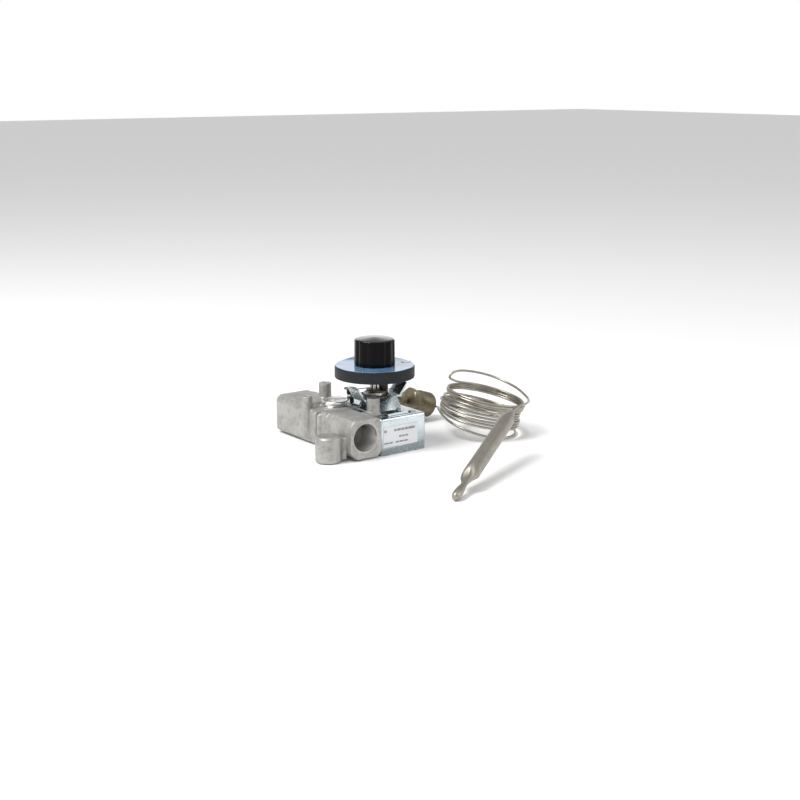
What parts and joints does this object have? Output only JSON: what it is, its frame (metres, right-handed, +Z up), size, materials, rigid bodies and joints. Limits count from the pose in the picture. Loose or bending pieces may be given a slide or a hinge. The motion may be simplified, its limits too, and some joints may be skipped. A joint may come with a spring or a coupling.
{
  "type": "gas thermostat valve",
  "caption": "Snap-acting gas valve with two inline threaded ports, a dial and knob on a bridge bracket, and a capillary with a gland fitting, coil and sensing bulb.",
  "frame": {"origin": "centre of the underside of the valve without its free capillary, on the floor", "axes": "+Z up along the dial's axis, +Y from the outlet port to the inlet port, +X towards the housing and the capillary"},
  "size_m": [0.1582, 0.1948, 0.0714],
  "materials": {
    "cast_aluminium": "matte as-cast, light warm grey",
    "gasket_sheet": "matte fibre sheet",
    "steel_screw": "satin, bright plated",
    "turned_aluminium": "fine turned rings, bright",
    "black_rubber": "matte",
    "yellow_brass": "satin",
    "bright_steel": "ground bright",
    "spring_steel": "dark, lightly oiled",
    "zinc_plate": "bright bluish zinc plating on folded sheet",
    "white_label": "satin paper with grey bars",
    "dial_black": "satin near-black, fine grain",
    "blue_film": "glossy clear blue protective film",
    "knob_black": "gloss black",
    "dull_brass": "dull olive-brown, lightly turned",
    "capillary_metal": "warm silver-grey, fine drawn lines"
  },
  "bodies": {
    "valve_body": {"outlet_casting": "cast_aluminium", "inlet_casting": "cast_aluminium", "body_gasket": "gasket_sheet", "body_screw_upper": "steel_screw", "body_screw_lower": "steel_screw", "access_plug": "turned_aluminium", "plug_seal_ring": "black_rubber", "valve_seat": "yellow_brass", "valve_spring": "spring_steel", "housing": "zinc_plate", "housing_base": "zinc_plate", "label": "white_label", "capillary_ferrule": "dull_brass", "housing_screw_front": "steel_screw", "housing_screw_rear": "steel_screw", "bracket": "zinc_plate", "bracket_screw_front": "steel_screw", "bracket_screw_rear": "steel_screw", "shaft_bush": "yellow_brass", "bush_nut": "steel_screw", "stop_washer": "spring_steel", "leaf_spring": "spring_steel", "bypass_bush": "dial_black", "lever_pin": "bright_steel", "gland_body": "dull_brass", "gland_follower": "dull_brass", "gland_packing": "gasket_sheet", "capillary_lead": "capillary_metal", "capillary_coil": "capillary_metal", "capillary_tail": "capillary_metal", "sensing_bulb": "capillary_metal"},
    "dial": {"knob": "knob_black", "dial": "dial_black", "dial_film": "blue_film", "dial_shaft": "bright_steel", "stop_collar": "bright_steel", "shaft_clip": "spring_steel"},
    "power_element": {"carrier": "zinc_plate", "power_capsule": "yellow_brass", "capsule_button": "bright_steel"},
    "valve_disc": {"valve_disc": "black_rubber", "push_pin": "bright_steel"},
    "snap_lever": {"snap_lever": "zinc_plate"},
    "bypass": {"bypass_screw": "bright_steel", "bypass_cap": "dial_black"}
  },
  "joints": [
    {"name": "dial_turn", "type": "hinge", "parent": "valve_body", "child": "dial", "pos_m": [0.01165, -0.02225, 0.0462], "axis": [0, 0, 1], "range_deg": [0, 280]},
    {"name": "power_lift", "type": "slide", "parent": "valve_body", "child": "power_element", "axis": [0, 0, 1], "range_m": [0, 0.0008]},
    {"name": "valve_lift", "type": "slide", "parent": "valve_body", "child": "valve_disc", "axis": [0, 0, 1], "range_m": [0, 0.0012], "stiffness_N_per_m": 400, "springref_m": -0.002, "deforming": ["valve_spring"]},
    {"name": "lever_turn", "type": "hinge", "parent": "valve_body", "child": "snap_lever", "pos_m": [0.01165, 0.00235, 0.00825], "axis": [0, 1, 0], "range_deg": [0, 6]},
    {"name": "bypass_turn", "type": "hinge", "parent": "valve_body", "child": "bypass", "pos_m": [0.01225, 0.00595, 0.0292], "axis": [0, 0, 1], "range_deg": [0, 270]}
  ],
  "couplings": [
    {"joint": "power_lift", "follows": "dial_turn", "m_per_rad": 0.000159},
    {"joint": "lever_turn", "follows": "valve_lift", "rad_per_m": 74.6}
  ]
}
